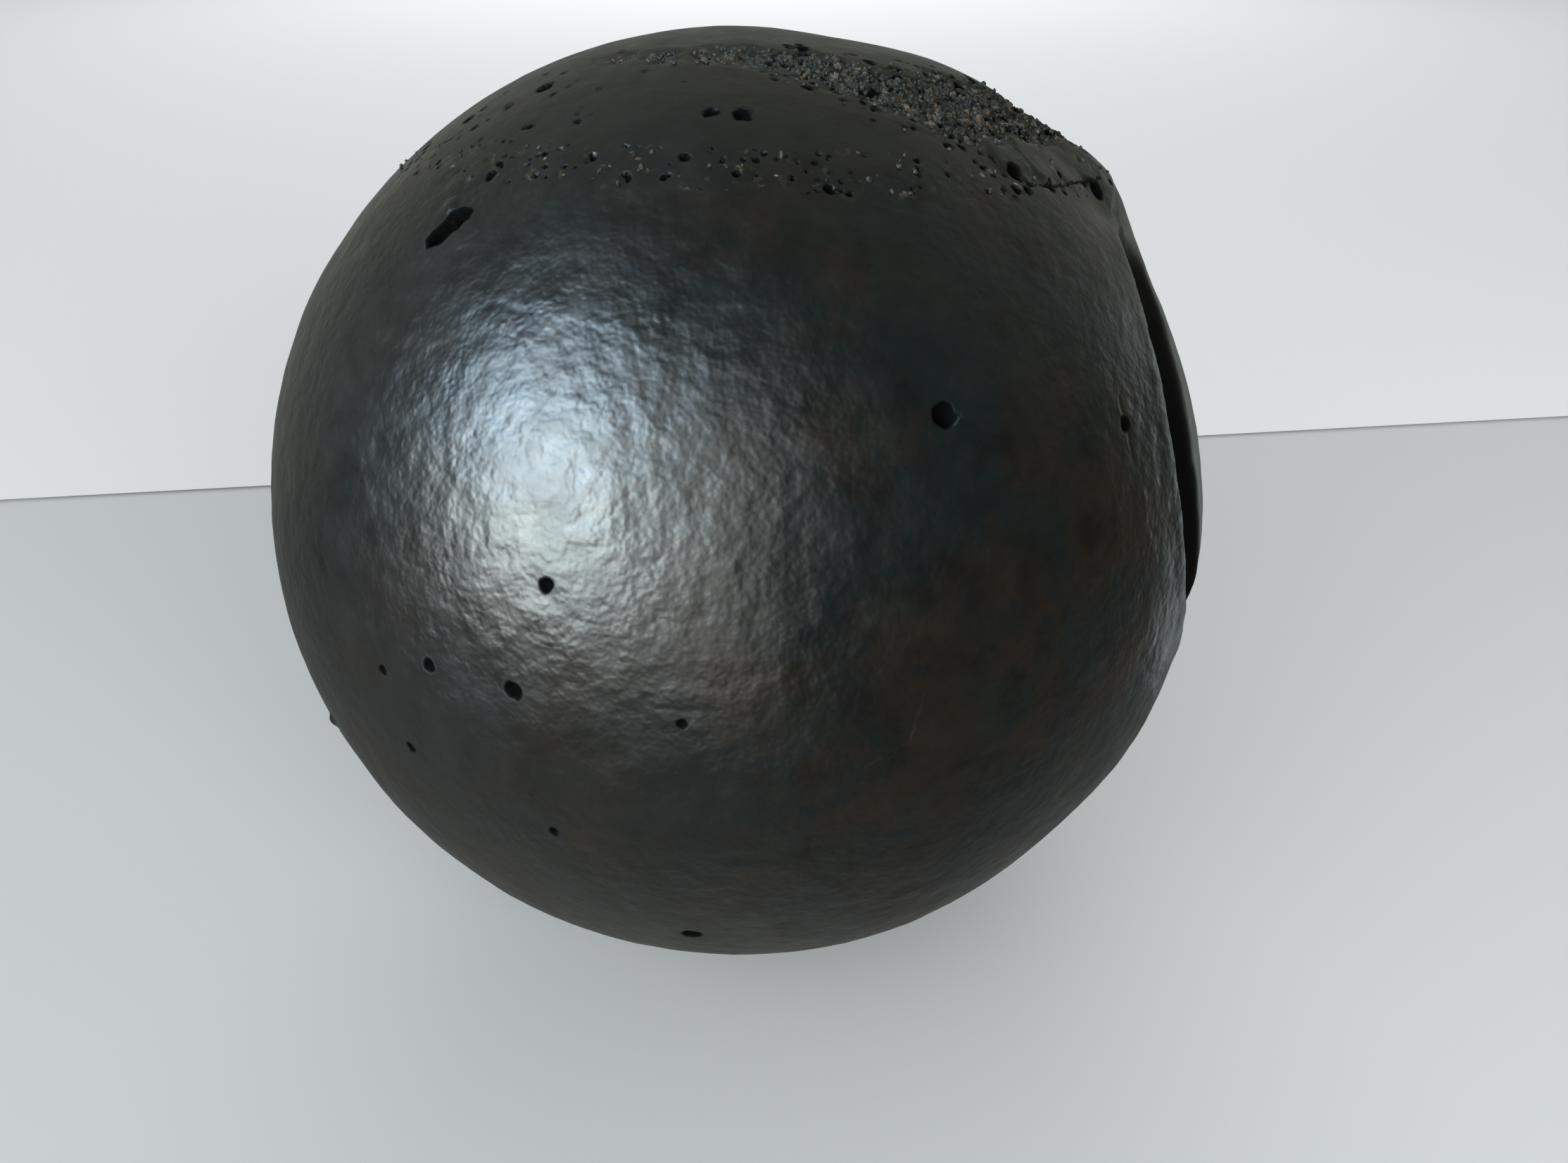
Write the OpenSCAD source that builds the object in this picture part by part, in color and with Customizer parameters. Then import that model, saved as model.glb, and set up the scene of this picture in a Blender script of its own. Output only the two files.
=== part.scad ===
// Case opening friction ball: it grips the back of a watch case, so that a push and a
// turn of the hand unscrew it. It is a solid ball of aged rubber. A smooth skin lies
// over a coarse core, and two lids are bonded into round openings of the skin. The
// core comes to the surface where the moulding gate tore off.
// Millimetres, +Z up. The origin is the middle of the worn flat that the ball rests on.

/* [Ball] */
// Diameter over the skin
ball_d = 65; // [58:1:80]
// Thickness of the skin and of both lids
skin_t = 2; // [1.6:0.1:3]
// Diameter of the worn flat underneath
flat_d = 14; // [8:1:16]

/* [Top lid] */
// Distance straight across the top joint, between the middles of its rubber
top_joint_d = 44.9; // [38:0.1:54]
// Width of the rubber in the top joint
top_joint_w = 3; // [1.5:0.1:4]
// How far the middle of the top lid has worn down from a true ball
top_lid_wear = 0.25; // [0.1:0.05:0.6]

/* [Side lid] */
// Distance straight across the side joint, between the middles of its rubber
side_joint_d = 32.6; // [24:0.2:40]
// Width of the rubber in the side joint
side_joint_w = 1.4; // [0.8:0.1:2.4]
// How far the middle of the side lid has worn down from a true ball
side_lid_wear = 0.5; // [0.1:0.05:0.9]

/* [Joints] */
// How far the rubber in the joints lies below the skin
joint_sink = 0.3; // [0.1:0.1:0.8]
// Distance between the middles of the two joints where they run together
joint_gap = 1.1; // [0.3:0.1:1.5]
// Turn of the place where they meet, from +X towards +Y
meet_turn = 8; // [0:1:20]
// Angle of that place above the middle of the ball
meet_rise = 43; // [36:1:48]
// Lean of the line through both lids, from straight down the ball
meet_lean = -19; // [-25:1:0]

/* [Torn gate] */
// Diameter of the torn patch
torn_d = 14; // [10:0.5:17]
// Distance along the ball from the top joint up to the middle of the torn patch
torn_inset = 3.8; // [3:0.1:6]
// Turn of the torn patch around the top lid, from the place where the joints meet
torn_turn = -20; // [-30:1:-10]
// Depth of the middle of the torn face below the skin
torn_sink = 0.3; // [0:0.1:0.8]
// Tilt of the torn face, which leaves its lower corner standing proud
torn_tilt = 5; // [0:0.5:7]
// Direction of that corner, from straight away from the top lid's middle
torn_corner = 56; // [40:1:70]

/* [Pits] */
// Size of the pits, as a share of the sizes listed for them
pit_scale = 1; // [0.5:0.1:1.5]

/* [Hidden] */
$fn = 128;

ball_r = ball_d / 2;
core_r = ball_r - skin_t;
// Height of the ball's middle over the flat
centre_h = sqrt(pow(ball_r, 2) - pow(flat_d / 2, 2));

// Angle at the ball's middle that spans a length along its surface
function arc(length) = length / ball_r * 180 / PI;
// Angle from a lid's axis to a circle of diameter d on the ball
function ring_angle(d) = asin(d / ball_d);

top_in = ring_angle(top_joint_d) - arc(top_joint_w / 2);
top_out = ring_angle(top_joint_d) + arc(top_joint_w / 2);
side_in = ring_angle(side_joint_d) - arc(side_joint_w / 2);
side_out = ring_angle(side_joint_d) + arc(side_joint_w / 2);
top_reach = ring_angle(top_joint_d) + arc(joint_gap / 2);
side_reach = ring_angle(side_joint_d) + arc(joint_gap / 2);
torn_reach = ring_angle(top_joint_d) - arc(torn_inset);

// Pits left by trapped air: turn from +X, angle above the ball's middle, diameter.
// The first two run together into one long pit.
PITS = [
    [-137, 50.5, 1.5], [-138, 49, 1.3], [-68, 34, 1.4], [-109, 20, 0.9],
    [-112, 9, 1.2], [-96, 8, 0.8], [-122, 9, 0.8], [-98, -34, 1.3],
    [-151, 68, 1.2], [-162, 60, 1.0], [-95, 68, 0.9], [-87, 68, 0.9]
];

// Points +Z of what it places along a direction from the ball's middle
module toward(turn, rise) rotate([0, 90 - rise, turn]) children();
module at_meeting() toward(meet_turn, meet_rise) rotate([0, 0, meet_lean]) children();
module at_top_lid() at_meeting() rotate([0, -top_reach, 0]) children();
module at_side_lid() at_meeting() rotate([0, side_reach, 0]) children();
module at_torn() at_top_lid() rotate([0, 0, torn_turn]) rotate([0, torn_reach, 0]) children();
module on_flat() translate([0, 0, centre_h]) children();

// Flat wedge from the ball's middle, between two angles from the upright axis
module wedge(from, to)
    polygon([[0, 0], ball_d * [sin(from), cos(from)], ball_d * [sin(to), cos(to)]]);

module cone(angle) rotate_extrude() wedge(0, angle);

// Rubber that fills a joint, from the core out to just below the skin
module joint_ring(from, to)
    rotate_extrude() intersection() {
        difference() { circle(ball_r - joint_sink); circle(core_r); }
        wedge(from, to);
    }

// Lid as thick as the skin, flush at its edge and worn a little flat in the middle
module lid(angle, wear) {
    edge_r = ball_r * sin(angle);
    crown = ball_r * (1 - cos(angle)) - wear;
    face_r = (pow(edge_r, 2) + pow(crown, 2)) / (2 * crown);
    rotate_extrude() intersection() {
        difference() {
            translate([0, ball_r - wear - face_r]) circle(face_r);
            circle(core_r);
        }
        wedge(0, angle);
    }
}

// A pit cuts whichever piece it falls on
module pits()
    for (p = PITS) toward(p[0], p[1]) translate([0, 0, ball_r]) sphere(d = p[2] * pit_scale, $fn = 32);

module torn_hole() at_torn() cylinder(h = ball_d, d = torn_d);

// Coarse rubber that rises through the torn patch, with its face tilted
module torn_stub()
    at_torn() intersection() {
        cylinder(h = ball_d, d = torn_d);
        translate([0, 0, ball_r - torn_sink]) rotate([0, 0, torn_corner]) rotate([0, -torn_tilt, 0])
            translate([0, 0, -ball_r]) cylinder(h = ball_r, d = ball_d);
    }

module core()
    color([0.13, 0.12, 0.10]) on_flat() union() {
        sphere(core_r);
        torn_stub();
    }

module main_skin()
    color([0.16, 0.16, 0.17]) on_flat() difference() {
        sphere(ball_r);
        sphere(core_r);
        at_top_lid() cone(top_out);
        at_side_lid() cone(side_out);
        torn_hole();
        pits();
        translate([-ball_r, -ball_r, -centre_h - ball_d]) cube(ball_d);
    }

module top_lid()
    color([0.14, 0.14, 0.14]) on_flat() difference() {
        at_top_lid() lid(top_in, top_lid_wear);
        torn_hole();
        pits();
    }

module side_lid()
    color([0.17, 0.18, 0.19]) on_flat() difference() {
        at_side_lid() lid(side_in, side_lid_wear);
        at_top_lid() cone(top_out);
        torn_hole();
        pits();
    }

module top_joint_rubber()
    color([0.20, 0.17, 0.13]) on_flat() difference() {
        at_top_lid() joint_ring(top_in, top_out);
        torn_hole();
        pits();
    }

module side_joint_rubber()
    color([0.10, 0.09, 0.08]) on_flat() difference() {
        at_side_lid() joint_ring(side_in, side_out);
        at_top_lid() cone(top_out);
        torn_hole();
        pits();
    }

core();
main_skin();
top_lid();
side_lid();
top_joint_rubber();
side_joint_rubber();
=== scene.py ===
"""Looks of the case opening friction ball: aged black rubber, smooth skin, pitted joint and torn gate."""

import math

import bmesh
import bpy
import numpy as np
from mathutils import Matrix, Vector
from mathutils.geometry import delaunay_2d_cdt


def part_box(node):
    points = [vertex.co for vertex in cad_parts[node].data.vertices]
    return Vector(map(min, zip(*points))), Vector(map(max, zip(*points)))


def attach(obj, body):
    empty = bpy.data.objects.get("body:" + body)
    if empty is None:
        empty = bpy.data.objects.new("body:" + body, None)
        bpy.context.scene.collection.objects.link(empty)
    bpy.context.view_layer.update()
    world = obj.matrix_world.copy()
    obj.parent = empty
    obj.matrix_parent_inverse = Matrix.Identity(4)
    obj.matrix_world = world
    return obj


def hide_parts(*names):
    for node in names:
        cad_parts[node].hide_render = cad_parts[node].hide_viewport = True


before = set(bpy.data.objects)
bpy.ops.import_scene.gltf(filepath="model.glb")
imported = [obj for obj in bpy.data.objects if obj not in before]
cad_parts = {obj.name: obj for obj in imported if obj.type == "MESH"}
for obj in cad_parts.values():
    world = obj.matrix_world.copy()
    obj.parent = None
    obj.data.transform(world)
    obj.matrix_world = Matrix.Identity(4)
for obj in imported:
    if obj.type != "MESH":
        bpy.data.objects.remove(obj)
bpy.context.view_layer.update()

MM = 0.001

# ---------------------------------------------------------------- sizes of the CAD part, in mm and degrees

CORE_LOW, CORE_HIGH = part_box("core")
MIDDLE = (CORE_LOW + CORE_HIGH) / 2
CORE_R = (CORE_HIGH.x - CORE_LOW.x) / 2 / MM
BALL_R = (MIDDLE.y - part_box("main_skin")[0].y) / MM
TOP_JOINT_D, TOP_JOINT_W = 44.9, 3.0
SIDE_JOINT_D, SIDE_JOINT_W = 32.6, 1.4
JOINT_GAP = 1.1
MEET_TURN, MEET_RISE, MEET_LEAN = 8, 43, -19
TORN_D, TORN_INSET, TORN_TURN = 14.0, 3.8, -20
TOP_WEAR, SIDE_WEAR = 0.25, 0.5


def arc(length):
    """Degrees round the ball's middle that a length along its surface spans."""
    return math.degrees(length / BALL_R)


def ring_angle(diameter):
    """Degrees from its axis to a circle on the ball."""
    return math.degrees(math.asin(diameter / 2 / BALL_R))


def turned(degrees, axis):
    return Matrix.Rotation(math.radians(degrees), 3, axis)


def toward(turn, rise):
    """Direction from the ball's middle: turn from +X towards +Y, rise over the level."""
    return turned(turn, "Z") @ turned(90 - rise, "Y") @ Vector((0, 0, 1))


def on_ball(turn, rise):
    return toward(turn, rise) * BALL_R


TOP_RING, SIDE_RING, TORN_RING = ring_angle(TOP_JOINT_D), ring_angle(SIDE_JOINT_D), ring_angle(TORN_D)
MEETING = turned(MEET_TURN, "Z") @ turned(90 - MEET_RISE, "Y") @ turned(MEET_LEAN, "Z")
TOP_PLACE = MEETING @ turned(-TOP_RING - arc(JOINT_GAP / 2), "Y")
SIDE_PLACE = MEETING @ turned(SIDE_RING + arc(JOINT_GAP / 2), "Y")
TORN_PLACE = TOP_PLACE @ turned(TORN_TURN, "Z") @ turned(TOP_RING - arc(TORN_INSET), "Y")
TOP_AXIS, SIDE_AXIS, TORN_AXIS = (place @ Vector((0, 0, 1)) for place in (TOP_PLACE, SIDE_PLACE, TORN_PLACE))
TOP_IN, TOP_OUT = TOP_RING - arc(TOP_JOINT_W / 2), TOP_RING + arc(TOP_JOINT_W / 2)
SIDE_IN, SIDE_OUT = SIDE_RING - arc(SIDE_JOINT_W / 2), SIDE_RING + arc(SIDE_JOINT_W / 2)


# ---------------------------------------------------------------- node trees written as sums

def opaque(colour):
    """A plain colour with its alpha. A colour that comes from a node stays as it is."""
    return (*colour, 1) if isinstance(colour, tuple) and len(colour) == 3 else colour


def set_stops(elements, stops):
    """Gives a ramp its stops, which are listed from 0 to 1."""
    for spot, _ in stops[1:-1]:
        elements.new(spot)
    for element, (spot, colour) in zip(elements, stops):
        element.position = spot
        element.color = opaque(colour)


class Flow:
    """An output of a node. Python's own signs add the Math nodes."""

    def __init__(self, tree, socket):
        self.tree = tree
        self.socket = socket

    def node(self, kind, settings=None, links=None, output=0):
        """Adds a node: its settings first, then the values or links of its sockets."""
        made = self.tree.nodes.new(kind)
        for name, value in (settings or {}).items():
            if name == "stops":
                set_stops(made.color_ramp.elements, value)
            else:
                setattr(made, name, value)
        for key, value in (links or {}).items():
            if isinstance(value, Flow):
                self.tree.links.new(value.socket, made.inputs[key])
            else:
                made.inputs[key].default_value = value
        return Flow(self.tree, made.outputs[output])

    def math(self, operation, *values):
        return self.node("ShaderNodeMath", {"operation": operation}, dict(enumerate(values)))

    def __add__(self, other):
        return self.math("ADD", self, other)

    def __sub__(self, other):
        return self.math("SUBTRACT", self, other)

    def __mul__(self, other):
        return self.math("MULTIPLY", self, other)

    def __truediv__(self, other):
        return self.math("DIVIDE", self, other)

    def __rsub__(self, other):
        return self.math("SUBTRACT", other, self)

    def __rtruediv__(self, other):
        return self.math("DIVIDE", other, self)

    def __abs__(self):
        return self.math("ABSOLUTE", self)

    __radd__ = __add__
    __rmul__ = __mul__

    def larger(self, other):
        return self.math("MAXIMUM", self, other)

    def smaller(self, other):
        return self.math("MINIMUM", self, other)

    def smooth(self, start, end, low=0.0, high=1.0):
        """Goes softly from low at start to high at end."""
        links = {"Value": self, "From Min": start, "From Max": end, "To Min": low, "To Max": high}
        return self.node("ShaderNodeMapRange", {"interpolation_type": "SMOOTHSTEP"}, links)

    def mix(self, first, second):
        """Between two colours, by this amount. A Mix node has them on sockets 6 and 7 and on output 2."""
        links = {0: self, 6: opaque(first), 7: opaque(second)}
        return self.node("ShaderNodeMix", {"data_type": "RGBA"}, links, 2)

    def vector(self, operation, *values, output="Vector"):
        return self.node("ShaderNodeVectorMath", {"operation": operation}, dict(enumerate(values)), output)

    def scaled(self, amount):
        return self.node("ShaderNodeVectorMath", {"operation": "SCALE"}, {0: self, "Scale": amount})

    def unit(self):
        return self.vector("NORMALIZE", self)

    def dot(self, other):
        return self.vector("DOT_PRODUCT", self, other, output="Value")

    def away(self, point):
        """Distance from a point."""
        return self.vector("DISTANCE", self, point, output="Value")

    def part(self, index):
        return self.node("ShaderNodeSeparateXYZ", None, {0: self}, index)

    def to_line(self, points):
        """Distance from a broken line."""
        nearest = None
        for start, end in zip(points, points[1:]):
            along = end - start
            share = self.vector("SUBTRACT", self, start).dot(along / along.length_squared)
            share = share.larger(0.0).smaller(1.0)
            foot = share.vector("MULTIPLY_ADD", share, along, start)
            distance = self.away(foot)
            nearest = nearest.smaller(distance) if nearest else distance
        return nearest

    def placed(self, size, seed):
        """This place in units of a pattern's size, moved by its seed."""
        return self.vector("MULTIPLY_ADD", self, (1 / size,) * 3, (seed * 7.31, seed * -3.17, seed * 5.73))

    def clouds(self, size, seed, detail, output):
        links = {"Vector": self.placed(size, seed), "Scale": 1.0, "Detail": detail}
        return self.node("ShaderNodeTexNoise", None, links, output)

    def noise(self, size, seed, detail=1.0):
        """Soft noise from about -1 to 1 that repeats about every size."""
        return self.clouds(size, seed, detail, 0) * 2.0 - 1.0

    def warped(self, size, amount, seed):
        """This place, moved about by noise."""
        shift = self.clouds(size, seed, 1.0, "Color")
        centred = shift.vector("SUBTRACT", shift, (0.5, 0.5, 0.5))
        return centred.vector("MULTIPLY_ADD", centred, (2 * amount,) * 3, self)

    def cells(self, size, seed, output="Distance"):
        """Voronoi cells: the distance from the middle of the nearest, or its random colour."""
        links = {"Vector": self.placed(size, seed), "Scale": 1.0}
        return self.node("ShaderNodeTexVoronoi", None, links, output)


# ---------------------------------------------------------------- camera

EYE_DISTANCE = 2.803  # ball radii from the ball's middle
EYE_SIDE = toward(-89.54, 28.35)
EYE_TURN, EYE_PITCH = -1.647, 32.159
LENS, FILM_WIDTH = 28, 36


def make_camera():
    lens = bpy.data.cameras.new("camera")
    lens.lens = LENS
    lens.sensor_width = FILM_WIDTH
    lens.clip_start = 2 * MM
    camera = bpy.data.objects.new("camera", lens)
    bpy.context.scene.collection.objects.link(camera)
    bpy.context.scene.camera = camera
    aim = turned(EYE_TURN, "Z") @ turned(90 - EYE_PITCH, "X")
    camera.matrix_world = Matrix.Translation(MIDDLE + EYE_SIDE * EYE_DISTANCE * BALL_R * MM) @ aim.to_4x4()


def rim(angle):
    """Direction of a place on the outline that the camera sees: angle from the right, through the top."""
    across = Vector((0, 0, 1)).cross(EYE_SIDE).normalized()
    up = EYE_SIDE.cross(across)
    reach = math.acos(1 / EYE_DISTANCE)
    a = math.radians(angle)
    return EYE_SIDE * math.cos(reach) + (across * math.cos(a) + up * math.sin(a)) * math.sin(reach)


# ---------------------------------------------------------------- relief of the rubber, in mm

# Long waves of the whole ball. It all starts a little lower, to stay inside the true ball.
WAVE, WAVE_HEIGHT = 13, 0.14
RIPPLE, RIPPLE_HEIGHT = 5, 0.05
INSET = 0.16
# Small marks of the hammered skin
BUMP, FINE_BUMP, FINE_BUMP_HEIGHT = 2.0, 1.0, 0.022
# How far the edges of the joints wander
RAGGED = 0.3
# Side groove, by distance outside its circle: its steep wall, its rise onto the lid, and its lip's slopes
GROOVE_WALL, GROOVE_RISE = (0.55, -0.2), (-1.2, -3.6)
LIP_OUTER, LIP_INNER = (2.4, 0.9), (0.3, 0.9)
GROOVE_DEPTH, LIP_HEIGHT = 0.7, 0.08
# Reach and depth of the crack, the gash and the scratches, and the reach of the gash's floor
CRACK_REACH, CRACK_DEPTH = 0.17, 0.15
CRACK_SHADE = 1.05  # over 1, so that the crack is quite dark a little way up its sides
GASH_REACH, GASH_FLOOR, GASH_DEPTH = 0.66, 0.2, 0.9
SCRATCH_REACH, SCRATCH_DEPTH = 0.2, 0.05
# How far the fringe of pits and grit goes past the tear
FRINGE = 1.4
# Spacing of the coarse grains, and of the wide and the small pits
GRAIN, WIDE_PIT, SMALL_PIT = 0.40, 0.95, 0.55
# Grains and pits lie on a loosened place: size, amount and seed of its noise
LOOSE = (1.3, 0.16, 5)
RELIEF_SIZES = {"Bump height": 0.045, "Grain height": 0.32, "Pit depth": 0.4}

# Soft swells and flats: angle round the outline, height, reach
SWELLS = [
    (0, 0.18, 6), (22, -0.08, 5), (50, 0.35, 4), (62, 0.50, 5), (98, 0.14, 9), (160, 0.18, 8), (185, 0.15, 8),
    (212, 0.10, 8), (310, -0.22, 6), (328, 0.15, 5),
]
# Proud corner under the tear: turn, rise, height, reach
LOBE = [(0, 46.8, 1.0, 4.2), (-4, 41.5, 0.36, 3.6)]
# Where the coarse inside shows: turn, rise, reach. The first ones are its wide end.
COARSE = [
    (4, 54.5, 3.0), (-8, 58, 3.8), (-20, 62, 4.0), (-30, 65, 3.6), (-38, 69, 3.0), (-46, 73, 2.4),
    (-58, 76.5, 1.8), (-80, 79.3, 1.5), (-102, 79.9, 1.2), (-130, 78.5, 1.0), (-150, 76, 0.7),
]
WIDE_END = 7
# Tongue of smooth skin left between the coarse rubber and the crack
TONGUE = [(-31, 56.3, 1.4), (-23, 54.2, 1.9), (-15, 51.8, 2.0), (-8, 49.3, 1.7)]
CRACK = [(-35, 54.9), (-33, 52.6), (-27, 51.0), (-21, 50.1), (-14, 48.6), (-8, 46.6)]
SCRATCHES = [[(-73.4, 9.0), (-74.8, 4.0), (-78.9, 2.5)], [(-42, 30), (-42.6, 24)]]
# Long deep pit: its middle line
GASH = [(-136.2, 51.0), (-137.2, 49.4), (-138.6, 47.9)]
# Where the side groove fades out under the torn corner, and where the top lid has more pits
GROOVE_END = (1.0, 45.5)
PITTED_LEFT = (-150, 62)
# Deep pits: turn, rise, reach, depth
PITS = [
    (-67.7, 34.0, 0.65, 0.5), (-108.5, 19.7, 0.38, 0.3), (-111.7, 9.0, 0.5, 0.4), (-95.6, 8.0, 0.3, 0.2),
    (-121.6, 8.9, 0.4, 0.25), (-96.8, -25.6, 0.6, 0.45), (-155.0, 68.0, 0.45, 0.4), (-167.0, 59.6, 0.4, 0.35),
    (-95.9, 67.8, 0.4, 0.45), (-88.2, 67.4, 0.5, 0.5), (-11.0, 46.4, 0.52, 0.55), (-34.6, 54.6, 0.5, 0.5),
    (-128.3, 5.8, 0.3, 0.2), (-125.9, -2.6, 0.3, 0.2), (-109.3, -7.5, 0.3, 0.2), (-42.4, 27.5, 0.4, 0.12),
]
# Raised lumps: turn, rise, reach, height
LUMPS = [(-140.4, 51.4, 0.6, 0.14), (-147.7, -11.6, 0.5, 0.22), (-66.2, 33.4, 0.35, 0.2)]


def beyond(place, axis, ring):
    """Distance along the ball outside a circle round an axis."""
    half = math.radians(ring / 2)
    return (place.away(axis * BALL_R) - 2 * BALL_R * math.sin(half)) / math.cos(half)


def spots(place, listed, soft):
    """1 inside any of the soft round spots, 0 well outside them all."""
    amount = None
    for turn, rise, reach in listed:
        one = place.away(on_ball(turn, rise)).smooth(reach + soft, reach - soft)
        amount = amount.larger(one) if amount else one
    return amount


def holes(place, size, seed, share):
    """Uneven round holes in a share of the cells: how deep from 0 to 1, and 1 wherever a hole is, which is
    where painted shade goes.
    """
    random = place.cells(size, seed, "Color")
    reach = random.part(1) * 0.25 + 0.15
    there = (share - random.part(0)).smooth(0.0, 0.08)
    near = place.cells(size, seed)
    return near.smooth(reach, reach * 0.45) * there, near.smooth(reach + 0.14, reach * 0.9) * there


def ball_waves(place, top):
    """Height of the ball's own waves, swells and worn lid."""
    height = place.noise(WAVE, 1, 0.0) * WAVE_HEIGHT + place.noise(RIPPLE, 2, 0.0) * RIPPLE_HEIGHT - INSET
    for angle, rise, reach in SWELLS:
        height = height + place.away(rim(angle) * BALL_R).smooth(reach * 1.9, 0.0, 0.0, rise)
    for turn, rise, amount, reach in LOBE:
        height = height + place.away(on_ball(turn, rise)).smooth(reach * 1.5, 0.0, 0.0, amount)
    return height + top.smooth(0.0, -BALL_R * 0.7, 0.0, -TOP_WEAR)


def hammered_skin(place, top, bump_height):
    """Height of the marks of a hammered mould, which are fainter on the top lid."""
    bumps = place.noise(BUMP, 11, 1.0) * bump_height + place.noise(FINE_BUMP, 12, 2.0) * FINE_BUMP_HEIGHT
    return bumps * top.smooth(1.5, -1.0, 1.0, 0.5)


def side_groove(place, side, ragged):
    """Height of the groove round the side lid, with its lip and the worn lid, and the painted shade in the
    groove and on the lid next to it.
    """
    edge = side + ragged + place.noise(0.7, 22, 1.0) * 0.12
    groove = edge.smooth(*GROOVE_WALL) - edge.smooth(*GROOVE_RISE, 0.0, 0.8)
    depth = place.noise(8, 21, 0.0).smooth(-0.5, 0.4, 0.65, 1.0)
    depth = depth * place.away(on_ball(*GROOVE_END)).smooth(5.0, 8.5)
    lip = edge.smooth(*LIP_OUTER) * edge.smooth(*LIP_INNER)
    worn = side.smooth(-1.5, -BALL_R * 0.5, 0.0, SIDE_WEAR * 0.6)
    # painted shade in the groove and on a strip of the lid up to 5 mm inside it
    shade = edge.smooth(0.25, -0.25) * edge.smooth(-5.0, -2.6) * depth * 0.9
    return lip * LIP_HEIGHT - groove * depth * GROOVE_DEPTH - worn, shade


def torn_rubber(place, loose, grain_height):
    """Height of the tear, and where its coarse rubber, the tongue of skin in it and its fringe are."""
    wander = place.warped(2.2, 1.0, 31)
    tongue = spots(wander, TONGUE, 0.5)
    coarse = spots(wander, COARSE, 0.9) * (1.0 - tongue)
    wider = [(turn, rise, reach + FRINGE) for turn, rise, reach in COARSE[:WIDE_END]]
    fringe = spots(wander, wider, 1.2) * (1.0 - tongue)
    grain = loose.cells(GRAIN, 33)
    odd = loose.cells(GRAIN, 33, "Color").part(0)
    lumpy = place.noise(1.1, 34, 1.0) * 0.35
    height = coarse * (grain_height * (odd * 0.7 - grain) + lumpy - 0.2) + tongue * 0.2
    return height, coarse, tongue, fringe


def joint_pits(place, loose, top, share, plain):
    """Pits in a share of the joint and a few in the lid: how deep from 0 to 1, and 1 wherever a pit is, which
    is where painted shade goes.
    """
    left = place.away(on_ball(*PITTED_LEFT)).smooth(9.0, 3.0, 0.0, 0.08)
    share = (share + top.smooth(0.0, -2.0, 0.0, 0.035) + left * top.smooth(0.0, -1.0)) * (1.0 - plain * 0.9)
    wide, wide_hollow = holes(loose, WIDE_PIT, 42, share)
    small, small_hollow = holes(loose, SMALL_PIT, 43, share * 0.8)
    return wide.larger(small * 0.7), wide_hollow.larger(small_hollow)


def named_marks(place):
    """Height of the listed pits, crack, gash, scratches and lumps, and a mask of painted shade, 1 wherever
    the surface sinks in.
    """
    near = place.warped(0.8, 0.22, 51)
    crack = near.to_line([on_ball(*spot) for spot in CRACK]).smooth(CRACK_REACH, 0.0)
    crack = crack * place.noise(1.5, 52, 1.0).smooth(-0.5, 0.1, 0.35, 1.0)
    gash = place.warped(1.1, 0.5, 53).to_line([on_ball(*spot) for spot in GASH])
    depth = (crack * CRACK_DEPTH).larger(gash.smooth(GASH_REACH, GASH_FLOOR, 0.0, GASH_DEPTH))
    shade_in_hollows = (crack * CRACK_SHADE).smaller(1.0).larger(gash.smooth(GASH_REACH + 0.26, GASH_REACH))
    for turn, rise, reach, deep in PITS:
        distance = near.away(on_ball(turn, rise))
        depth = depth.larger(distance.smooth(reach * 1.15, reach * 0.3, 0.0, deep))
        shade_in_hollows = shade_in_hollows.larger(distance.smooth(reach * 1.15 + 0.12, reach * 0.95))
    for scratch in SCRATCHES:
        line = near.to_line([on_ball(*spot) for spot in scratch])
        depth = depth.larger(line.smooth(SCRATCH_REACH, SCRATCH_REACH * 0.15, 0.0, SCRATCH_DEPTH))
    height = 0.0 - depth
    for turn, rise, reach, amount in LUMPS:
        height = height + near.away(on_ball(turn, rise)).smooth(reach * 1.3, 0.0, 0.0, amount)
    return height, shade_in_hollows


def relief(place, sizes):
    """Height over the true ball, and the masks that the finishes use."""
    top = beyond(place, TOP_AXIS, TOP_RING)
    side = beyond(place, SIDE_AXIS, SIDE_RING)
    ragged = place.noise(1.6, 3, 2.0) * RAGGED
    loose = place.warped(*LOOSE)
    band = (abs(top + ragged) - 0.2).smooth(1.6, 0.9)
    groove, shade = side_groove(place, side, ragged)
    tear, coarse, tongue, fringe = torn_rubber(place, loose, sizes["Grain height"])
    share = band * place.noise(4, 41, 0.0).smooth(-0.4, 0.5, 0.25, 0.65) + coarse * 0.25 + fringe * 0.5
    pits, pitted = joint_pits(place, loose, top, share, tongue)
    marks, shade_in_hollows = named_marks(place)
    height = ball_waves(place, top) + hammered_skin(place, top, sizes["Bump height"])
    height = height + groove + tear - pits * sizes["Pit depth"] + marks
    # painted shade: one mask for the black that stands in for shade in the pits, crack, gash and side groove
    dark = pitted.larger(shade_in_hollows).larger(shade)
    lid = top.smooth(0.8, -1.5)
    return height, {"coarse": coarse, "dark": dark, "band": band, "lid": lid, "fringe": fringe}


# ---------------------------------------------------------------- geometry trees

def new_tree(name, inputs):
    """A geometry tree with named inputs, and the flows of those inputs."""
    tree = bpy.data.node_groups.new(name, "GeometryNodeTree")
    tree.interface.new_socket("Geometry", in_out="INPUT", socket_type="NodeSocketGeometry")
    for title, kind in inputs.items():
        tree.interface.new_socket(title, in_out="INPUT", socket_type=kind)
    tree.interface.new_socket("Geometry", in_out="OUTPUT", socket_type="NodeSocketGeometry")
    entry = tree.nodes.new("NodeGroupInput")
    leave = tree.nodes.new("NodeGroupOutput")
    flows = {title: Flow(tree, entry.outputs[title]) for title in ("Geometry", *inputs)}
    return tree, flows, leave


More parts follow.
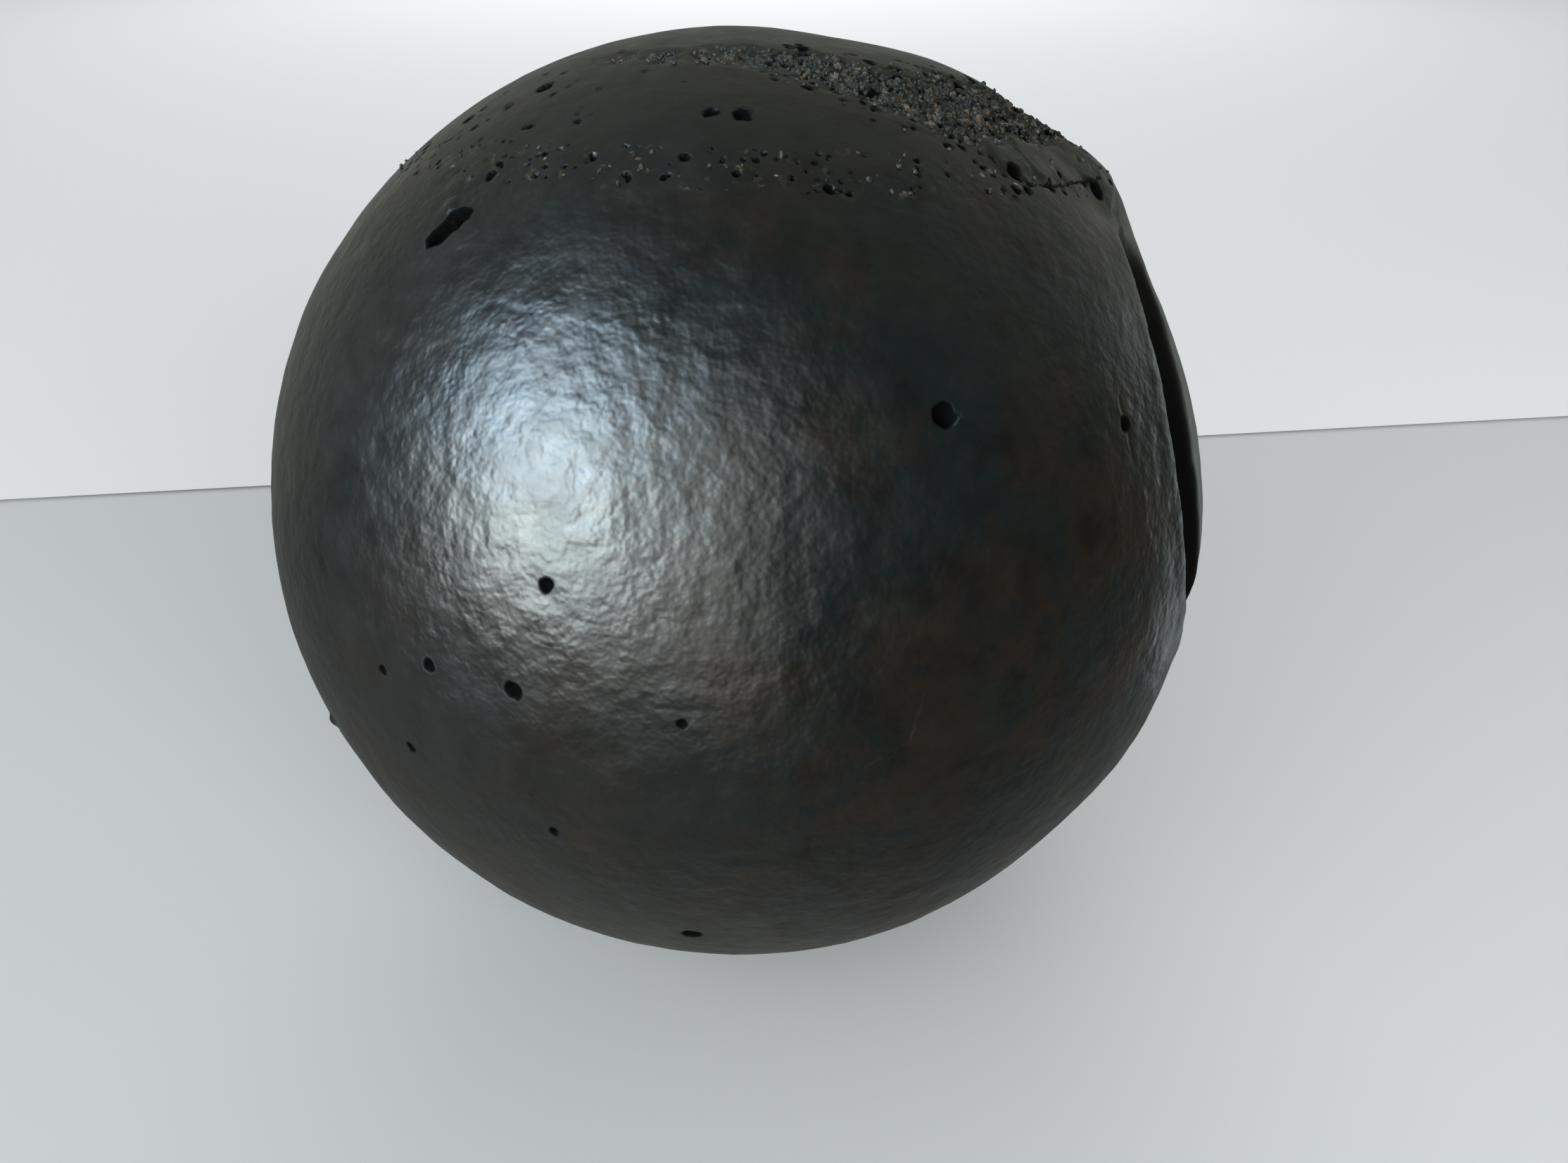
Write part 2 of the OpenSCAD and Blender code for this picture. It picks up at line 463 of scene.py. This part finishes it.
def named(start, name):
    return start.node("GeometryNodeInputNamedAttribute", {"data_type": "FLOAT"}, {"Name": name})


def stored(geometry, name, value, domain="POINT"):
    settings = {"data_type": "FLOAT", "domain": domain}
    links = {"Geometry": geometry, "Name": name, "Value": value}
    return geometry.node("GeometryNodeStoreNamedAttribute", settings, links)


def finish(geometry, material, leave):
    """Gives the geometry its material and sends it out of the tree."""
    geometry = geometry.node("GeometryNodeSetMaterial", None, {"Geometry": geometry, "Material": material})
    geometry.tree.links.new(geometry.socket, leave.inputs["Geometry"])


def relief_tree():
    """Presses the relief into a smooth ball piece and stores its masks. Nothing goes below the floor."""
    sizes = {name: "NodeSocketFloat" for name in RELIEF_SIZES}
    tree, flows, leave = new_tree("relief", {**sizes, "Material": "NodeSocketMaterial"})
    geometry = flows["Geometry"]
    position = geometry.node("GeometryNodeInputPosition")
    ray = position.vector("SUBTRACT", position, MIDDLE).unit()
    height, masks = relief(ray.scaled(BALL_R), flows)
    outer = named(geometry, "outer")
    moved = ray.vector("ADD", ray.scaled(height * outer * MM), position)
    parts = {0: moved.part(0), 1: moved.part(1), 2: moved.part(2).larger(0.0)}
    moved = moved.node("ShaderNodeCombineXYZ", None, parts)
    for name, value in masks.items():
        geometry = stored(geometry, name, value * outer)
    geometry = geometry.node("GeometryNodeSetPosition", None, {"Geometry": geometry, "Position": moved})
    finish(geometry, flows["Material"], leave)
    return tree


def settle(piece, tree, sizes):
    """Runs a geometry tree on a piece and keeps the result as its plain mesh."""
    modifier = piece.modifiers.new("shape", "NODES")
    modifier.node_group = tree
    for item in tree.interface.items_tree:
        if item.in_out == "INPUT" and item.name in sizes:
            modifier[item.identifier] = sizes[item.name]
    graph = bpy.context.evaluated_depsgraph_get()
    shaped = piece.evaluated_get(graph)
    mesh = bpy.data.meshes.new_from_object(shaped, preserve_all_data_layers=True, depsgraph=graph)
    piece.modifiers.clear()
    piece.data = mesh
    mesh.name = piece.name


def new_piece(name, points, faces, outer):
    """A mesh piece from points in mm round the ball's middle. The relief presses only its outer points."""
    mesh = bpy.data.meshes.new(name)
    mesh.from_pydata((points * MM + np.array(MIDDLE)).tolist(), [], faces)
    pressed = mesh.attributes.new("outer", "FLOAT", "POINT")
    pressed.data.foreach_set("value", outer.astype(np.float32))
    piece = bpy.data.objects.new(name, mesh)
    bpy.context.scene.collection.objects.link(piece)
    return piece


# ---------------------------------------------------------------- ball pieces

ICOSAHEDRON_EDGE = math.atan(2)  # radians between two of its corners
FINE_EDGE = 0.2  # mm, fine enough for a pit
UNDER_EDGE = 2.2  # mm, for faces that lie on the core
NEAR_CUT = 0.3  # edges, within which a point of the grid moves onto a cut
ON_CUT = 3e-5  # radians, within which a point belongs to a cut
SNAP_ROUNDS = 3  # a corner of two cuts settles on both


class Cut:
    """A circle on the ball. The piece keeps what is outside it, or inside it."""

    def __init__(self, axis, ring, outside):
        self.axis = np.array(axis)
        self.ring = math.radians(ring)
        self.sign = 1 if outside else -1

    def depth(self, points):
        """Distance in radians by which points lie on the kept side."""
        off = np.arccos(np.clip(points @ self.axis, -1, 1)) - self.ring
        return self.sign * off

    def snapped(self, points, reach):
        """The points, with those within reach of the circle moved onto it."""
        close = np.abs(self.depth(points)) < reach
        along = points[close] @ self.axis
        across = points[close] - along[:, None] * self.axis
        across /= np.linalg.norm(across, axis=1)[:, None]
        points[close] = self.axis * math.cos(self.ring) + across * math.sin(self.ring)
        return points

    def trim(self, solid, edge):
        """Cuts a mesh along the circle and drops what is past it."""
        places = np.array([vert.co for vert in solid.verts])
        close = self.depth(places) < 3 * edge / BALL_R
        verts = [vert for vert, yes in zip(solid.verts, close) if yes]
        part = list({thing for vert in verts for thing in (vert, *vert.link_edges, *vert.link_faces)})
        axis = Vector(self.axis)
        plane = {"plane_co": axis * math.cos(self.ring), "plane_no": axis}
        side = {"clear_outer": self.sign > 0, "clear_inner": self.sign < 0}
        bmesh.ops.bisect_plane(solid, geom=part, dist=1e-6, **plane, **side)


def divided_face(count):
    """A triangle divided into rows: the column and the row of its points, and its small triangles."""
    column, row = np.meshgrid(np.arange(count + 1), np.arange(count + 1))
    held = column + row <= count
    column, row = column[held], row[held]
    number = np.full((count + 2, count + 2), -1)
    number[row, column] = np.arange(len(row))
    up = column + row < count
    r, c = row[up], column[up]
    upward = np.stack([number[r, c], number[r, c + 1], number[r + 1, c]], 1)
    down = column + row < count - 1
    r, c = row[down], column[down]
    downward = np.stack([number[r, c + 1], number[r + 1, c + 1], number[r + 1, c]], 1)
    return column, row, np.concatenate([upward, downward])


def ball_grid(edge, cuts):
    """Even triangles of a ball of radius 1 that reach the kept side of every cut."""
    solid = bmesh.new()
    bmesh.ops.create_icosphere(solid, subdivisions=1, radius=1)
    corners = [[np.array(vert.co.normalized()) for vert in face.verts] for face in solid.faces]
    solid.free()
    count = math.ceil(ICOSAHEDRON_EDGE * BALL_R / edge)
    column, row, faces = divided_face(count)
    u, v = column[:, None] / count, row[:, None] / count
    all_points, all_faces, start = [], [], 0
    for a, b, c in corners:
        points = a * (1 - u - v) + b * u + c * v
        points /= np.linalg.norm(points, axis=1)[:, None]
        kept = np.ones(len(faces), bool)
        for cut in cuts:
            kept &= cut.depth(points)[faces].max(1) > 0
        used = np.unique(faces[kept])
        renumber = np.zeros(len(points), int)
        renumber[used] = np.arange(len(used)) + start
        all_points.append(points[used])
        all_faces.append(renumber[faces[kept]])
        start += len(used)
    points = np.concatenate(all_points)
    faces = np.concatenate(all_faces)
    _, keep, same = np.unique(points.round(7), axis=0, return_index=True, return_inverse=True)
    return points[keep], same.ravel()[faces]


def refine(solid):
    """Divides the triangles round each named mark twice, so that the mark keeps its shape."""
    listed = PITS + LUMPS + [(*spot, 0.5) for line in (CRACK, GASH, *SCRATCHES) for spot in line]
    middles = np.array([toward(mark[0], mark[1]) for mark in listed])
    reaches = np.array([mark[2] for mark in listed])
    for margin in (1.0, 0.6):
        places = np.array([vert.co for vert in solid.verts])
        near = (np.linalg.norm(places[:, None] - middles, axis=2) * BALL_R < reaches * 1.3 + margin).any(1)
        solid.verts.index_update()
        edges = [edge for edge in solid.edges if near[edge.verts[0].index] and near[edge.verts[1].index]]
        bmesh.ops.subdivide_edges(solid, edges=edges, cuts=1, use_grid_fill=True)
        bmesh.ops.triangulate(solid, faces=[face for face in solid.faces if len(face.verts) > 3])


def facing(points, faces, side):
    """The triangles, all turned away from the ball's middle, or towards it where side is -1."""
    a, b, c = (points[faces[:, k]] for k in range(3))
    wrong = (np.cross(b - a, c - a) * (a + b + c)).sum(1) * side < 0
    faces[wrong] = faces[wrong][:, ::-1]
    return faces


def patch(edge, cuts):
    """Points and triangles of the kept part of the ball, cut along its circles, facing outwards."""
    points, faces = ball_grid(edge, cuts)
    for cut in cuts:
        points = cut.snapped(points, NEAR_CUT * edge / BALL_R)
    solid = bmesh.new()
    mesh = bpy.data.meshes.new("patch")
    mesh.from_pydata(points.tolist(), [], faces.tolist())
    solid.from_mesh(mesh)
    for cut in cuts:
        cut.trim(solid, edge)
    bmesh.ops.triangulate(solid, faces=solid.faces[:])
    if edge > FINE_EDGE:
        refine(solid)
    loose = [vert for vert in solid.verts if not vert.link_faces]
    bmesh.ops.delete(solid, geom=loose, context="VERTS")
    solid.to_mesh(mesh)
    solid.free()
    points = np.empty(len(mesh.vertices) * 3)
    mesh.vertices.foreach_get("co", points)
    points = points.reshape(-1, 3)
    points /= np.linalg.norm(points, axis=1)[:, None]
    for cut in SNAP_ROUNDS * cuts:
        points = cut.snapped(points, ON_CUT)
    faces = np.empty(len(mesh.polygons) * 3, int)
    mesh.polygons.foreach_get("vertices", faces)
    bpy.data.meshes.remove(mesh)
    return points, facing(points, faces.reshape(-1, 3), 1)


def open_edges(faces):
    """Edges that belong to one triangle only, in that triangle's direction."""
    edges = np.concatenate([faces[:, [0, 1]], faces[:, [1, 2]], faces[:, [2, 0]]])
    there = set(map(tuple, edges.tolist()))
    return [edge for edge in there if edge[::-1] not in there]


def under_patch(points, rims, cuts, pole):
    """Coarse triangles of the kept part of the ball, ending on the given edges.

    They are joined up on a flat map of the ball, seen from the pole, which lies outside that part.
    """
    grid, _ = ball_grid(UNDER_EDGE, cuts)
    for cut in cuts:
        grid = grid[cut.depth(grid) > 0.7 * UNDER_EDGE / BALL_R]
    used = sorted({index for pair in rims for index in pair})
    order = {index: number for number, index in enumerate(used)}
    places = np.concatenate([points[used], grid])
    upright = np.array(Vector(pole).to_track_quat("Z", "Y").to_matrix().transposed())
    seen = places @ upright.T
    flat = seen[:, :2] / (1 - seen[:, 2:])
    edges = [(order[a], order[b]) for a, b in rims]
    made = delaunay_2d_cdt([Vector(p) for p in flat], edges, [], 0, 1e-9, True)
    match = [origin[0] for origin in made[3]]
    faces = np.array([[match[index] for index in face] for face in made[2]])
    middles = flat[faces].mean(1)
    square = (middles ** 2).sum(1)[:, None]
    middles = np.hstack([2 * middles, square - 1]) / (square + 1) @ upright
    kept = np.ones(len(faces), bool)
    for cut in cuts:
        kept &= cut.depth(middles) > 0
    return places, faces[kept], order


def crease(mesh, pairs):
    """Keeps the edges between the given pairs of points sharp in smooth shading."""
    numbers = {tuple(sorted(edge.vertices)): edge.index for edge in mesh.edges}
    sharp = mesh.attributes.new("sharp_edge", "BOOLEAN", "EDGE")
    for pair in pairs:
        sharp.data[numbers[tuple(sorted(pair))]].value = True


def ball_piece(name, edge, cuts, pole, rest=None):
    """A closed piece: a fine outer face, its walls, and a coarse face on the core.

    Where rest is given, the coarse face is instead the rest of the core's own surface, which those cuts keep.
    """
    points, faces = patch(edge, cuts)
    rims = open_edges(faces)
    inner, inner_faces, order = under_patch(points, rims, rest or cuts, pole)
    inner_faces = facing(inner, inner_faces, 1 if rest else -1)
    start = len(points)
    places = np.concatenate([points * BALL_R, inner * CORE_R])
    under_rims = [(order[a] + start, order[b] + start) for a, b in rims]
    walls = [(b, a, c, d) for (a, b), (c, d) in zip(rims, under_rims)]
    triangles = faces.tolist() + (inner_faces + start).tolist()
    piece = new_piece(name, places, triangles + walls, np.arange(len(places)) < start)
    piece.data.shade_smooth()
    crease(piece.data, rims + under_rims)
    return piece


# ---------------------------------------------------------------- materials

DEEP_BLACK = (0.0010, 0.0010, 0.0008)
# Painted shade: a matt black without gloss, and the black colour, for the shade in the pits, crack, gash and
# side groove
PAINTED_SHADE_MATT = (0.0008, 0.0010, 0.0008)
PAINTED_SHADE_BLACK = (0.002, 0.002, 0.002)
TEAL_BLACK = (0.0022, 0.0046, 0.0050)
BROWN_BLACK = (0.0085, 0.0052, 0.0026)
GREENISH = (0.0028, 0.0062, 0.0038)
OLIVE = (0.0062, 0.0062, 0.0036)
GRIT_COLOURS = [
    (0.0, (0.005, 0.007, 0.004)), (0.45, (0.012, 0.013, 0.009)), (0.62, (0.030, 0.021, 0.011)),
    (0.80, (0.060, 0.042, 0.022)), (0.90, (0.10, 0.085, 0.055)), (0.96, (0.15, 0.14, 0.11)),
    (1.0, (0.42, 0.39, 0.32)),
]
GRAIN_COLOURS = [
    (0.0, (0.002, 0.003, 0.0025)), (0.45, (0.006, 0.008, 0.006)), (0.66, (0.018, 0.015, 0.010)),
    (0.80, (0.038, 0.024, 0.012)), (0.90, (0.06, 0.048, 0.031)), (0.965, (0.11, 0.095, 0.065)),
    (1.0, (0.25, 0.23, 0.20)),
]
RUBBER_IOR = 1.36
RUBBER_ROUGHNESS, GRIT_ROUGHNESS = 0.37, 0.72


def new_material(name):
    """An empty material, its place in mm from the ball's middle, and its output node."""
    material = bpy.data.materials.new(name)
    material.use_nodes = True
    tree = material.node_tree
    tree.nodes.clear()
    out = tree.nodes.new("ShaderNodeOutputMaterial")
    coordinates = Flow(tree, None).node("ShaderNodeTexCoord", output="Object")
    place = coordinates.vector("SUBTRACT", coordinates, MIDDLE).scaled(1 / MM)
    return material, place, out


def attribute(start, name):
    return start.node("ShaderNodeAttribute", {"attribute_name": name}, None, 2)


def finish_material(place, out, colour, roughness, height, shade_in_hollows=None):
    """Joins colour, roughness and a bump height in mm into a rubber, and mixes in a dead black without gloss
    as painted shade, by the given amount.
    """
    bump = place.node("ShaderNodeBump", None, {"Strength": 1.0, "Distance": MM, "Height": height})
    links = {"Base Color": colour, "Roughness": roughness, "Normal": bump, "IOR": RUBBER_IOR}
    shader = place.node("ShaderNodeBsdfPrincipled", None, links)
    if shade_in_hollows:
        black = {"Base Color": opaque(PAINTED_SHADE_MATT), "Roughness": 1.0, "Specular IOR Level": 0.0}
        cavity = place.node("ShaderNodeBsdfPrincipled", None, black)
        shader = place.node("ShaderNodeMixShader", None, {0: shade_in_hollows, 1: shader, 2: cavity})
    place.tree.links.new(shader.socket, out.inputs["Surface"])


def patina(place, specks, lid):
    """Mottled black of the smooth rubber."""
    patchy = place.noise(7, 61, 4.0)
    colour = (patchy + specks * 0.35).smooth(-0.22, 0.30).mix(TEAL_BLACK, BROWN_BLACK)
    colour = (place.noise(5, 68, 2.0) + specks * 0.3).smooth(0.05, 0.4, 0.0, 0.7).mix(colour, GREENISH)
    colour = (lid * 0.5).mix(colour, OLIVE)
    return (place.noise(3, 60, 4.0) + specks * 0.5).smooth(-0.1, 0.6, 0.0, 0.85).mix(colour, DEEP_BLACK)


def aged_rubber():
    """Aged rubber with a mottled patina, painted shade in its pits, crack, gash and side groove, and full of
    coloured grains where it is coarse.
    """
    material, place, out = new_material("aged rubber")
    coarse, dark, band, lid = (attribute(place, name) for name in ("coarse", "dark", "band", "lid"))
    specks = place.noise(0.9, 62, 3.0)
    colour = patina(place, specks, lid)
    # colours of the coarse grains, and of the chips in the joint
    grain = place.warped(*LOOSE).cells(GRAIN, 33, "Color")
    chips = grain.node("ShaderNodeValToRGB", {"stops": GRAIN_COLOURS}, {0: grain.part(2)})
    stained = place.noise(0.8, 69, 2.0).smooth(0.12, 0.3) * band
    colour = coarse.larger(stained * 0.8).mix(colour, chips)
    # painted shade: black in the pits, crack, gash and side groove
    colour = dark.mix(colour, PAINTED_SHADE_BLACK)
    shine = place.noise(2.6, 63, 3.0) * 0.13 + specks * 0.06 + lid * 0.05
    roughness = shine + coarse * 0.35 + dark * 0.5 + RUBBER_ROUGHNESS
    fine = place.noise(1.2, 64, 2.0) * 0.056 + place.noise(0.45, 65, 1.0) * 0.014
    height = fine * (1.0 - dark) * (1.0 - lid * 0.55) + coarse * place.noise(0.2, 67, 2.0) * 0.10
    finish_material(place, out, colour, roughness, height, dark * 0.92)
    return material


def grit():
    """Grains of mineral filler, each of one colour."""
    material, place, out = new_material("mineral grit")
    tint = attribute(place, "tint")
    colour = tint.node("ShaderNodeValToRGB", {"stops": GRIT_COLOURS}, {0: tint})
    roughness = place.noise(0.3, 71, 1.0) * 0.1 + GRIT_ROUGHNESS
    finish_material(place, out, colour, roughness, place.noise(0.1, 72, 1.0) * 0.02)
    return material


# ---------------------------------------------------------------- the six rubber pieces

OFF_TORN = Cut(TORN_AXIS, TORN_RING, True)
OFF_TOP = Cut(TOP_AXIS, TOP_OUT, True)
SKIN_CUTS = [OFF_TOP, Cut(SIDE_AXIS, SIDE_OUT, True), OFF_TORN]
TOP_LID_CUTS = [Cut(TOP_AXIS, TOP_IN, False), OFF_TORN]
SIDE_LID_CUTS = [Cut(SIDE_AXIS, SIDE_IN, False), OFF_TOP, OFF_TORN]
TOP_JOINT_CUTS = [Cut(TOP_AXIS, TOP_IN, True), Cut(TOP_AXIS, TOP_OUT, False), OFF_TORN]
SIDE_JOINT_CUTS = [Cut(SIDE_AXIS, SIDE_IN, True), Cut(SIDE_AXIS, SIDE_OUT, False), OFF_TOP, OFF_TORN]
TEAR_CUTS = [Cut(TORN_AXIS, TORN_RING, False)]

# CAD node, slot, edge of the triangles in mm, cuts, and a direction outside the piece's coarse face
PIECES = {
    "main_skin_shell": ("main_skin", "skin_rubber", 0.37, SKIN_CUTS, TOP_AXIS),
    "top_lid_shell": ("top_lid", "top_lid_rubber", 0.17, TOP_LID_CUTS, -TOP_AXIS),
    "side_lid_shell": ("side_lid", "side_lid_rubber", 0.22, SIDE_LID_CUTS, -SIDE_AXIS),
    "top_joint_band": ("top_joint_rubber", "joint_rubber", 0.13, TOP_JOINT_CUTS, TOP_AXIS),
    "side_joint_band": ("side_joint_rubber", "joint_rubber", 0.15, SIDE_JOINT_CUTS, SIDE_AXIS),
    "coarse_core": ("core", "coarse_core_rubber", 0.12, TEAR_CUTS, TORN_AXIS),
}

RELIEF = relief_tree()
RUBBER = aged_rubber()
for name, (node, slot, edge, cuts, pole) in PIECES.items():
    rest = [OFF_TORN] if node == "core" else None
    piece = ball_piece(name, edge, cuts, pole, rest)
    settle(piece, RELIEF, {**RELIEF_SIZES, "Material": RUBBER})
    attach(piece, "root")
    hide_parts(node)


# ---------------------------------------------------------------- grit

# Grains for each square metre, their radii in metres, and the seed of their scatter
GRIT_SIZES = {
    "Coarse grains": 6e6, "Joint grains": 2.5e5, "Least size": 0.08 * MM, "Most size": 0.19 * MM, "Seed": 3,
}
# Edge in mm of the triangles that it is scattered on, and how far past the joint they go
GRIT_EDGE, GRIT_MARGIN = 0.3, 1.8
GRAIN_TURN = 6.28  # radians
GRAIN_SQUEEZE = (0.6, 1.3)


def random_number(start, low, high, seed):
    """A random number. The node's number sockets are 2 and 3, and its number output is 1."""
    return start.node("FunctionNodeRandomValue", {"data_type": "FLOAT"}, {2: low, 3: high, "Seed": seed}, 1)


def random_vector(start, low, high, seed):
    """A vector whose three parts are random, each on its own."""
    links = {0: (low,) * 3, 1: (high,) * 3, "Seed": seed}
    return start.node("FunctionNodeRandomValue", {"data_type": "FLOAT_VECTOR"}, links)


def grit_tree():
    """Scatters small angular grains where the rubber is coarse, and some along the joint."""
    kinds = {"Relief material": "NodeSocketMaterial", "Material": "NodeSocketMaterial"}
    sizes = {name: "NodeSocketInt" if name == "Seed" else "NodeSocketFloat" for name in GRIT_SIZES}
    tree, flows, leave = new_tree("grit", {**kinds, **sizes})
    geometry = flows["Geometry"]
    pressed = {"Geometry": geometry, "Material": flows["Relief material"], **RELIEF_SIZES}
    geometry = geometry.node("GeometryNodeGroup", {"node_tree": RELIEF}, pressed)
    crowd = named(geometry, "coarse") * flows["Coarse grains"]
    crowd = crowd + named(geometry, "band").larger(named(geometry, "fringe")) * flows["Joint grains"]
    crowd = crowd * (1.0 - named(geometry, "dark") * 0.8)
    links = {"Mesh": geometry, "Density": crowd, "Seed": flows["Seed"]}
    points = geometry.node("GeometryNodeDistributePointsOnFaces", {"distribute_method": "RANDOM"}, links)
    grain = geometry.node("GeometryNodeMeshIcoSphere", None, {"Radius": 1.0, "Subdivisions": 1})
    turn = random_vector(geometry, 0.0, GRAIN_TURN, 5)
    size = random_number(geometry, flows["Least size"], flows["Most size"], 6)
    shape = random_vector(geometry, *GRAIN_SQUEEZE, 8).scaled(size)
    placed = {"Points": points, "Instance": grain, "Rotation": turn, "Scale": shape}
    grains = geometry.node("GeometryNodeInstanceOnPoints", None, placed)
    position = geometry.node("GeometryNodeInputPosition")
    paler = position.noise(2.5 * MM, 10).smooth(-0.35, 0.4, 0.55, 1.0)
    grains = stored(grains, "tint", random_number(geometry, 0.0, 1.0, 9) * paler, "INSTANCE")
    grains = grains.node("GeometryNodeRealizeInstances", None, {"Geometry": grains})
    finish(grains, flows["Material"], leave)
    return tree


def make_grit():
    """The grains that stick out of the tear and of the top joint, as one piece."""
    points, faces = patch(GRIT_EDGE, [Cut(TOP_AXIS, TOP_OUT + arc(GRIT_MARGIN), False)])
    piece = new_piece("embedded_grit", points * BALL_R, faces.tolist(), np.ones(len(points)))
    settle(piece, grit_tree(), {**GRIT_SIZES, "Relief material": RUBBER, "Material": grit()})
    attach(piece, "root")


make_grit()


# ---------------------------------------------------------------- floor, light and camera, in metres

FLOOR_COLOUR, BACK_COLOUR = (0.63, 0.645, 0.65), (0.90, 0.905, 0.91)
# How far the sheets reach, and where the near edge of the back sheet lies at its two ends
FAR = 1.5
BACK_LEFT, BACK_RIGHT = -0.066, 0.206
BACK_LEVEL = 0.3 * MM
# The room that the gloss mirrors is light behind the ball, dark in front of it, and has a dark doorway at the
# right. Its ground is lighter at the front left.
ROOM_LIGHT_SIDE = (0.25, 0.95, 0.15)
ROOM_DARK, ROOM_LIGHT = (0.015, 0.016, 0.014), (0.40, 0.415, 0.365)
GROUND_DARK, GROUND_LIGHT = (0.22, 0.23, 0.22), (0.44, 0.45, 0.41)
DOORWAY_SIDE, DOORWAY = (0.98, 0.06, -0.02), (0.03, 0.032, 0.03)
SOFT_SKY, PLAIN_WALL = (0.43, 0.45, 0.46), (0.72, 0.72, 0.72)
# Direction, distance, width, height, power in W, colour, and whether it is only a shine on the ball. The
# others only light the floor.
LIGHTS = {
    "window high": ((-0.68, -0.52, 0.60), 0.5, 0.28, 0.20, 6.8, (0.62, 0.83, 1.0), True),
    "window low": ((-0.64, -0.69, 0.29), 0.5, 0.29, 0.24, 7.5, (0.90, 1.0, 0.99), True),
    "glow": ((-0.20, -0.90, 0.31), 0.5, 0.26, 0.60, 1.9, (1.0, 0.98, 0.88), True),
    "right side": ((0.80, 0.55, -0.25), 0.6, 0.10, 0.45, 0.21, (0.78, 0.93, 1.0), True),
    "soft light": ((-0.45, -0.80, 0.50), 0.5, 0.36, 0.5, 0.55, (1.0, 0.98, 0.96), False),
    "fill": ((0.45, -0.84, 0.29), 0.30, 0.15, 0.15, 0.70, (1.0, 1.0, 1.0), False),
    "back light": ((0.0, 0.89, 0.45), 0.75, 0.5, 0.5, 1.75, (1.0, 1.0, 1.0), False),
}


def flat_sheet(name, corners, level, colour):
    """A sheet of pale paper, which the rubber's gloss doesn't show."""
    mesh = bpy.data.meshes.new(name)
    mesh.from_pydata([(x, y, level) for x, y in corners], [], [(0, 1, 2, 3)])
    sheet = bpy.data.objects.new(name, mesh)
    bpy.context.scene.collection.objects.link(sheet)
    material, place, out = new_material(name)
    shader = place.node("ShaderNodeBsdfPrincipled", None, {"Base Color": opaque(colour), "Roughness": 0.9})
    place.tree.links.new(shader.socket, out.inputs["Surface"])
    mesh.materials.append(material)
    sheet.visible_glossy = False


def area_light(name, side, distance, width, height, power, colour, shine_only):
    """A rectangular light that faces the ball."""
    data = bpy.data.lights.new(name, "AREA")
    data.shape = "RECTANGLE"
    data.size = width
    data.size_y = height
    data.energy = power
    data.color = colour
    lamp = bpy.data.objects.new(name, data)
    bpy.context.scene.collection.objects.link(lamp)
    aim = Vector(side).normalized()
    facing_ball = aim.to_track_quat("Z", "Y").to_matrix().to_4x4()
    lamp.matrix_world = Matrix.Translation(MIDDLE + aim * distance) @ facing_ball
    lamp.visible_diffuse = not shine_only
    lamp.visible_glossy = shine_only


def make_world():
    """A room for the gloss to mirror, an even light for matt surfaces, and a plain wall for the camera."""
    world = bpy.data.worlds.new("studio")
    bpy.context.scene.world = world
    world.use_nodes = True
    tree = world.node_tree
    tree.nodes.clear()
    out = tree.nodes.new("ShaderNodeOutputWorld")
    start = Flow(tree, None)
    side = start.node("ShaderNodeTexCoord", output="Generated")
    behind = side.dot(Vector(ROOM_LIGHT_SIDE).normalized()).smooth(-0.7, 0.6)
    room = behind.mix(ROOM_DARK, ROOM_LIGHT)
    lit = side.part(0).smooth(0.45, -0.05) * side.part(1).smooth(0.35, -0.1)
    room = side.part(2).smooth(0.0, -0.5).mix(room, lit.mix(GROUND_DARK, GROUND_LIGHT))
    room = side.away(DOORWAY_SIDE).smooth(0.52, 0.15, 0.0, 0.75).mix(room, DOORWAY)
    soft = start.node("ShaderNodeLightPath", output="Is Diffuse Ray").mix(room, SOFT_SKY)
    seen = start.node("ShaderNodeLightPath", output="Is Camera Ray").mix(soft, PLAIN_WALL)
    light = start.node("ShaderNodeBackground", None, {"Color": seen, "Strength": 1.0})
    tree.links.new(light.socket, out.inputs["Surface"])


BACK_CORNERS = [(FAR, FAR), (-FAR, FAR)]
flat_sheet("floor", [(-FAR, -FAR), (FAR, -FAR), *BACK_CORNERS], 0.0, FLOOR_COLOUR)
flat_sheet("back_sheet", [(-FAR, BACK_LEFT), (FAR, BACK_RIGHT), *BACK_CORNERS], BACK_LEVEL, BACK_COLOUR)
make_world()
for name, values in LIGHTS.items():
    area_light(name, *values)
make_camera()
bpy.context.scene.view_settings.view_transform = "Standard"
